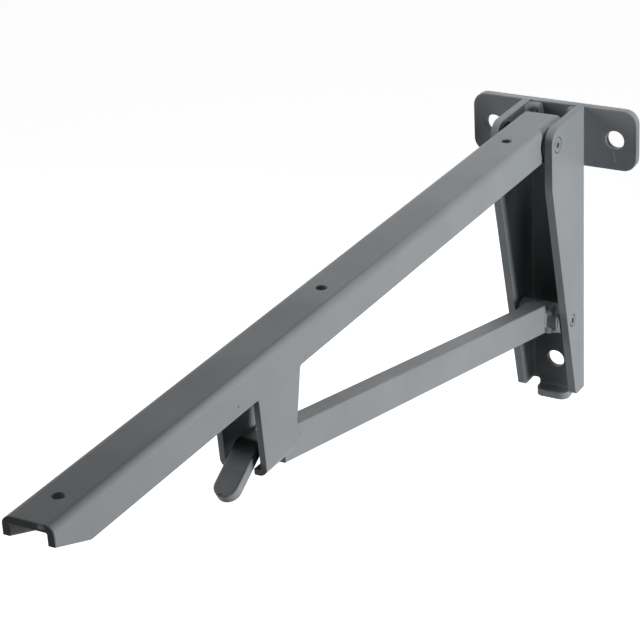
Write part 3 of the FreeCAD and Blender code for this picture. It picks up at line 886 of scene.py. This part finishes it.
@dataclass
class Studio:
    """A pale floor under a white surround, with six soft boxes.

    Attributes:
        floor_drop: How far the floor lies below the wall bracket's origin, in metres.
        floor_size: The floor's side, in metres.
        ambient: Level of the surround as a light.
        glow: Plain white that the floor shows besides its lamplight, so that a faint shadow is left.
        paper: The floor's own colour.
        lamps: The key box lights the right sides from low down, two small boxes the top near the wall,
            and three wide ones fill in from the left, from behind and from the front.
    """

    floor_drop: float = 0.46
    floor_size: float = 60.0
    ambient: float = 0.005
    glow: float = 0.96
    paper: str = "#BEBEBE"
    lamps: tuple[SoftBox, ...] = (
        SoftBox("key_box", (0.80, -0.08, -0.05), (0.0, -0.17, -0.02), 0.25, 0.25, 6.2),
        SoftBox("top_box", (0.05, 0.0, 0.20), (0.0, -0.03, 0.0), 0.12, 0.12, 0.26),
        SoftBox("rear_box", (-0.22, 0.10, 0.18), (0.0, -0.10, 0.0), 0.2, 0.2, 0.17),
        SoftBox("left_box", (-0.60, -0.38, 0.24), (0.0, -0.02, 0.0), 0.35, 0.35, 1.5),
        SoftBox("back_box", (-0.15, 1.00, -0.06), (0.0, 0.0, -0.06), 0.4, 0.4, 4.0),
        SoftBox("front_box", (-0.75, -1.00, 0.25), (0.0, -0.15, 0.0), 0.4, 0.4, 1.85),
    )

    def build(self) -> None:
        """Lays the floor, lights the surround and hangs the lamps."""
        self.lay_floor()
        self.light_surround()
        for lamp in self.lamps:
            lamp.hang()

    def sees_background(self, tree: bpy.types.NodeTree) -> bpy.types.NodeSocket:
        """Adds the test for rays that should meet plain white: camera, glossy and transmission rays.

        Args:
            tree: The node tree that gets the test.

        Returns:
            1 for such a ray, and 0 for the others.
        """
        path = add_node(tree, "LightPath")
        first = add_node(tree, "Math", {"operation": "MAXIMUM"}, {
            0: path.outputs["Is Camera Ray"], 1: path.outputs["Is Glossy Ray"],
        })
        return add_node(tree, "Math", {"operation": "MAXIMUM"}, {
            0: first.outputs[0], 1: path.outputs["Is Transmission Ray"],
        }).outputs[0]

    def lay_floor(self) -> None:
        """Adds the floor, a pale sheet that keeps a soft shadow."""
        deselect_all()
        bpy.ops.mesh.primitive_plane_add(size=self.floor_size, location=(0, 0, -self.floor_drop))
        floor = bpy.context.object
        floor.name = "floor"
        bpy.ops.object.transform_apply(location=True, rotation=True, scale=True)
        material = bpy.data.materials.new("white_paper_floor")
        material.use_nodes = True
        tree = material.node_tree
        tree.nodes.clear()
        paper = add_node(tree, "BsdfDiffuse", {"Color": linear(self.paper)})
        share = add_node(tree, "Math", {"operation": "MULTIPLY", 1: self.glow},
                         {0: self.sees_background(tree)})
        white = add_node(tree, "Emission", {"Color": linear("#FFFFFF")}, {"Strength": share.outputs[0]})
        both = add_node(tree, "AddShader", None, {0: paper.outputs[0], 1: white.outputs[0]})
        add_node(tree, "OutputMaterial", None, {"Surface": both.outputs[0]})
        dress(floor, material)

    def light_surround(self) -> None:
        """Makes the world white to look at and dim as a light."""
        world = bpy.data.worlds.new("white_surround")
        bpy.context.scene.world = world
        world.use_nodes = True
        tree = world.node_tree
        tree.nodes.clear()
        dim = add_node(tree, "Background", {"Color": linear("#FFFFFF"), "Strength": self.ambient})
        white = add_node(tree, "Background", {"Color": linear("#FFFFFF"), "Strength": 1.0})
        blend = add_node(tree, "MixShader", None, {
            0: self.sees_background(tree), 1: dim.outputs[0], 2: white.outputs[0],
        })
        add_node(tree, "OutputWorld", None, {"Surface": blend.outputs[0]})


def main() -> None:
    """Builds the bracket's looks and the studio round it."""
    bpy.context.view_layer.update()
    bpy.context.scene.view_settings.view_transform = "Standard"
    Viewpoint().set_up()
    weld = WELD_COAT.build()
    WallBracket().build(weld)
    Arm().build()
    Strut().build(weld)
    Studio().build()
    log.info("bracket dressed")


if __name__ == "__main__":
    main()
